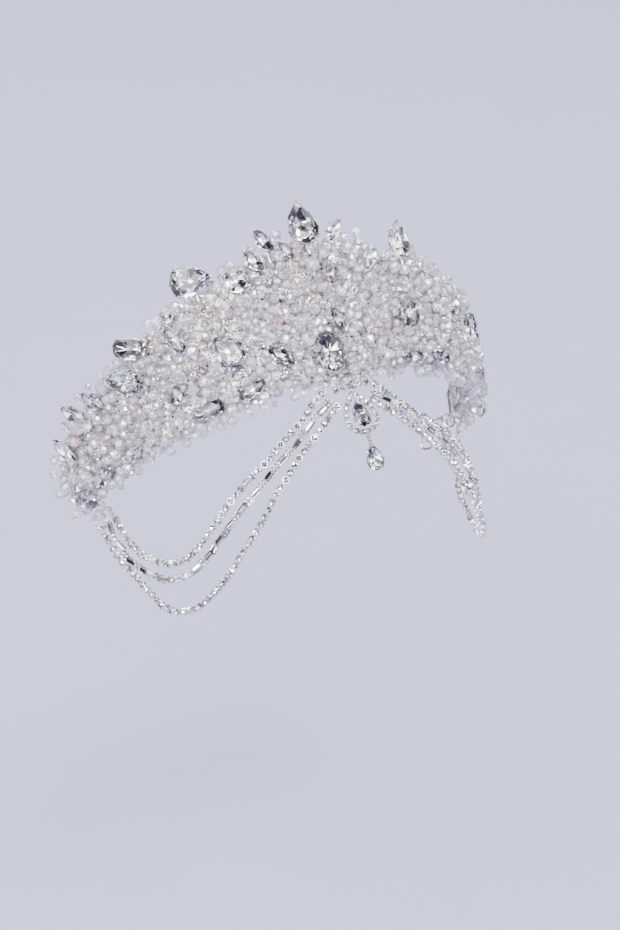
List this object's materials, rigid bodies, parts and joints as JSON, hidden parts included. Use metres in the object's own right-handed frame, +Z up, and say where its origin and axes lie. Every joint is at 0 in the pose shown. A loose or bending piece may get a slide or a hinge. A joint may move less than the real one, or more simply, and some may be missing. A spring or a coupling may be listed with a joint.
{
  "type": "bridal headpiece",
  "caption": "Bridal crown headpiece: wire band dressed with clear glass beads and cut stones, draped brow chains and a teardrop pendant.",
  "frame": {"origin": "middle of the rim at the front, where the band rests on the top of the forehead, in the worn pose", "axes": "+X to the wearer's left, -Y to the front, +Z up; the rim falls back 47.9 degrees from the brow to the ears"},
  "size_m": [0.2066, 0.1012, 0.1588],
  "materials": {
    "silver_metal": "polished silver plating",
    "clear_beads": "faceted clear glass with a faint rainbow coat",
    "cut_glass": "foil-backed cut glass in silver claws"
  },
  "bodies": {
    "root": {"headband_frame": "silver_metal", "bead_field_left": "clear_beads", "bead_field_right": "clear_beads", "centre_cluster": "silver_metal", "pendant_halo": "silver_metal", "pendant_drop_upper": "cut_glass", "pendant_link": "silver_metal", "pendant_drop_lower": "cut_glass", "chain_ring_left": "silver_metal", "chain_ring_right": "silver_metal", "drape_chain_upper_left": "silver_metal", "drape_chain_upper_right": "silver_metal", "drape_chain_middle_left": "silver_metal", "drape_chain_middle_right": "silver_metal", "drape_chain_lower_left": "silver_metal", "drape_chain_lower_right": "silver_metal", "crest_pear_centre": "cut_glass", "crest_pear_left": "cut_glass", "crest_pear_right": "cut_glass", "brow_oval": "cut_glass", "side_pear_left": "cut_glass", "side_pear_right": "cut_glass", "flank_pear_left": "cut_glass", "flank_pear_right": "cut_glass", "flank_oval_right": "cut_glass", "crest_marquise_left": "cut_glass", "crest_marquise_right": "cut_glass", "crest_marquise_small": "cut_glass", "upper_marquise_right": "cut_glass", "upper_disc_right": "cut_glass", "upper_marquise_left": "cut_glass", "middle_marquise": "cut_glass", "brow_marquise": "cut_glass", "lower_marquise_right": "cut_glass", "side_marquise_right": "cut_glass", "side_small_right": "cut_glass", "side_marquise_left": "cut_glass", "crest_round_right": "cut_glass", "outer_marquise_left": "cut_glass", "outer_marquise_right": "cut_glass", "ear_marquise_left": "cut_glass", "ear_marquise_right": "cut_glass", "end_marquise_left": "cut_glass", "end_marquise_right": "cut_glass", "rim_marquise_left": "cut_glass", "rim_marquise_right": "cut_glass", "rim_pear_left": "cut_glass", "rim_pear_right": "cut_glass", "rim_small_left": "cut_glass", "rim_small_right": "cut_glass", "rim_end_left": "cut_glass", "rim_end_right": "cut_glass", "end_round_left": "cut_glass", "end_round_right": "cut_glass", "end_oval_left": "cut_glass", "end_oval_right": "cut_glass"}
  },
  "joints": []
}
